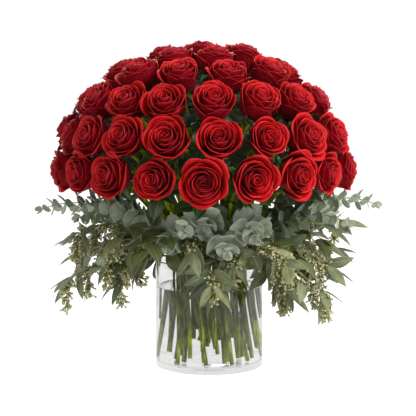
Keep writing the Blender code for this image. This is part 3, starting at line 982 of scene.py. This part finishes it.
def make_water():
    """The water, reaching just into the glass, with its edge drawn up the wall."""
    radius = INNER_RADIUS + WATER_OVERLAP
    low = VASE_BASE - WATER_OVERLAP
    high = WATER_TOP + MENISCUS
    profile = [(0.0, low - WELL_DIP)]
    profile += corner(radius - WELL_EDGE, low + WELL_EDGE, WELL_EDGE, -90, 0)
    profile += [(radius, VASE_BASE + WELL_EDGE + WALL_RING), (radius, high - WALL_RING), (radius, high)]
    for step in range(1, MENISCUS_STEPS + 1):
        share = step / MENISCUS_STEPS
        profile.append((INNER_RADIUS - MENISCUS_REACH * share, WATER_TOP + MENISCUS * (1 - share) ** 2.2))
    profile += [(INNER_RADIUS * 0.5, WATER_TOP), (0.0, WATER_TOP)]
    build = Builder("vase_water", [WATER])
    build.add(turned(profile, VASE_SIDES), 0)
    made = build.build()
    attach(made, "root")
    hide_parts("water")


# ------------------------------------------------------------------ rose pieces

# (seed, openness, fullness) of the blooms that the roses share
OPEN_BLOOMS = [bloom(*kind) for kind in ((3, 0.80, 0.6), (11, 1.10, 0.2), (23, 0.70, 0.9), (31, 1.20, 0.5))]
CUP_BLOOMS = [bloom(*kind) for kind in ((47, 0.45, 0.7), (59, 0.65, 0.4), (67, 0.25, 0.9), (71, 0.85, 0.6))]
BLOOM_SCALE = 1.05
# (distance out from the stem's axis, drop) of a thorn's foot, middle and tip
THORN = ((0.0018, 0.0), (0.0038, 0.0006), (0.0055, 0.0020))


def upright(origin, out, spin):
    """A matrix that takes +Z to the direction, turned about it."""
    z = Vector(out).normalized()
    x = z.orthogonal().normalized()
    basis = Matrix((x, z.cross(x), z)).transposed().to_4x4()
    return Matrix.Translation(origin) @ basis @ Matrix.Rotation(spin, 4, "Z")


def thorn(chance, point, along):
    side = along.orthogonal().normalized()
    side.rotate(Matrix.Rotation(chance.uniform(0, 2 * math.pi), 3, along))
    path = [point + side * reach - along * drop for reach, drop in THORN]
    return lathe_along(path, (0.0016, 0.0008, 0.0001), 6)


def add_rose(build, chance, path, out):
    """One rose of a node: its stem, thorns, leaves, calyx and petals."""
    size = STEM_RADIUS * chance.uniform(0.88, 1.10)
    last = len(path) - 1
    radii = [size * (1.04 - 0.16 * step / last) * chance.uniform(0.97, 1.03) for step in range(last + 1)]
    radii[-1] = size * 1.05
    build.add(lathe_along(path, radii, 10), 1)
    total = path_length(path)
    for _ in range(3):
        point, along = along_path(path, total * chance.uniform(0.45, 0.85))
        build.add(thorn(chance, point, along), 1)
    base = path[-1]
    spin = chance.uniform(0, 2 * math.pi)
    place = upright(base, out, spin)
    shape = chance.choice(CUP_BLOOMS if out.z > 0.45 else OPEN_BLOOMS)
    scale = BLOOM_SCALE * chance.uniform(0.91, 1.05)
    build.add(shape, 0, place @ Matrix.Scale(scale, 4))
    build.add(calyx(chance), 2, place)
    for share in (0.93, 0.84, 0.74):
        if chance.random() < 0.30 and share < 0.93:
            continue
        point, along = along_path(path, total * (share + chance.uniform(-0.02, 0.02)))
        side = along.orthogonal().normalized()
        side.rotate(Matrix.Rotation(chance.uniform(0, 2 * math.pi), 3, along))
        direction = side + along * chance.uniform(0.3, 0.9)
        build.add(rose_leaf(chance), 2, aim(point, direction, along))


def make_roses():
    for name, ring, rise, roses in rose_nodes():
        chance = random.Random(name)
        build = Builder(name + "_flower", [PETAL, STEM, ROSE_LEAF])
        main = roses[len(roses) // 2]
        branch = 0
        for rose in roses:
            own = rose is main
            branch += not own
            add_rose(build, chance, stem_path(ring, rise, main, rose, 0 if own else branch), rose[2])
        made = build.build()
        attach(made, "root")
        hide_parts(name)


def make_greens():
    counts = {}
    finishes = {"dollar": [TWIG, DOLLAR], "seeded": [TWIG, SEEDED, SEED], "salal": [TWIG, SALAL]}
    for kind, azimuth, reach, rise in SPRIGS:
        counts[kind] = counts.get(kind, 0) + 1
        make_sprig(f"{kind}_sprig_{counts[kind]}", kind, azimuth, reach, rise, finishes[kind])


# ------------------------------------------------------------------ studio

LOOK_AT = Vector((-0.0017, 0.0, 0.2245))
CAMERA_DISTANCE = 2.0
CAMERA_PITCH = math.radians(5.8)
CAMERA_LENS = 122.0
FLOOR_RADIUS = 7.0
# how bright the floor is seen straight, and seen through glass behind the vase and in front of it
FLOOR_GLOW = 0.52
GLASS_GLOW = 0.70
FRONT_GLOW = 0.34
# how bright the backdrop is, the light that it throws on matt surfaces, and the dark room that faces it
BACKDROP = 1.0
AMBIENT = 0.42
ROOM = 0.10
# (name, place, width, watts, colour)
LAMPS = (
    ("key", (1.9, -1.5, 1.8), 1.7, 76.0, (1.0, 0.98, 0.95)),
    ("fill", (-1.6, -1.6, 0.9), 1.4, 4.5, (0.95, 0.97, 1.0)),
    ("rim", (-0.4, 1.6, 1.5), 1.0, 11.0, (1.0, 1.0, 1.0)),
)


def seen(tree, straight, lighting, glancing):
    """One number for rays seen straight, one for those that light a matt surface, one for all others."""
    path = tree.nodes.new("ShaderNodeLightPath")
    others = between(tree, path.outputs["Is Camera Ray"], 0.0, 1.0, glancing, straight)
    return between(tree, path.outputs["Is Diffuse Ray"], 0.0, 1.0, others, lighting)


def make_floor():
    """A pale floor with a slight grain, as bright as the studio's backdrop."""
    made, tree, shader = new_finish("pale_floor")
    put(tree, shader.inputs["Emission Color"], (1.0, 1.0, 1.0))
    place = tree.nodes.new("ShaderNodeSeparateXYZ")
    tree.links.new(tree.nodes.new("ShaderNodeTexCoord").outputs["Object"], place.inputs[0])
    glow = between(tree, place.outputs["Y"], -0.30, 0.05, FRONT_GLOW, GLASS_GLOW)
    put(tree, shader.inputs["Emission Strength"], seen(tree, FLOOR_GLOW, 0.0, glow))
    grain = noisy(tree, 30.0, 5.0)
    pale = blended(tree, grain, (0.86, 0.86, 0.855), (0.90, 0.90, 0.895))
    put(tree, shader.inputs["Base Color"], blended(tree, seen(tree, 1.0, 1.0, 0.0), (0.0, 0.0, 0.0), pale))
    put(tree, shader.inputs["Roughness"], between(tree, grain, 0.3, 0.7, 0.45, 0.6))
    shape = bmesh.new()
    bmesh.ops.create_circle(shape, cap_ends=True, segments=96, radius=FLOOR_RADIUS)
    mesh = bpy.data.meshes.new("pale_floor")
    shape.to_mesh(mesh)
    shape.free()
    mesh.materials.append(made)
    floor = bpy.data.objects.new("pale_floor", mesh)
    bpy.context.scene.collection.objects.link(floor)


def soft_light(name, place, size, power, colour):
    lamp = bpy.data.lights.new(name, "AREA")
    lamp.shape = "DISK"
    lamp.size = size
    lamp.energy = power
    lamp.color = colour
    made = bpy.data.objects.new(name, lamp)
    made.location = place
    made.rotation_euler = (LOOK_AT - Vector(place)).to_track_quat("-Z", "Y").to_euler()
    bpy.context.scene.collection.objects.link(made)


def make_studio():
    world = bpy.data.worlds.new("studio")
    world.use_nodes = True
    background = world.node_tree.nodes["Background"]
    background.inputs["Color"].default_value = (1.0, 1.0, 1.0, 1)
    tree = world.node_tree
    direction = tree.nodes.new("ShaderNodeSeparateXYZ")
    tree.links.new(tree.nodes.new("ShaderNodeTexCoord").outputs["Generated"], direction.inputs[0])
    room = between(tree, direction.outputs["Y"], -0.85, -0.15, ROOM, BACKDROP)
    put(tree, background.inputs["Strength"], seen(tree, BACKDROP, AMBIENT, room))
    bpy.context.scene.world = world
    for lamp in LAMPS:
        soft_light(*lamp)
    camera = bpy.data.cameras.new("camera")
    camera.lens = CAMERA_LENS
    made = bpy.data.objects.new("camera", camera)
    back = Vector((0, -math.cos(CAMERA_PITCH), math.sin(CAMERA_PITCH)))
    made.location = LOOK_AT + back * CAMERA_DISTANCE
    made.rotation_euler = (math.radians(90) - CAMERA_PITCH, 0, 0)
    bpy.context.scene.collection.objects.link(made)
    bpy.context.scene.camera = made
    bpy.context.scene.view_settings.view_transform = "Standard"


make_vase()
make_water()
make_roses()
make_greens()
make_floor()
make_studio()
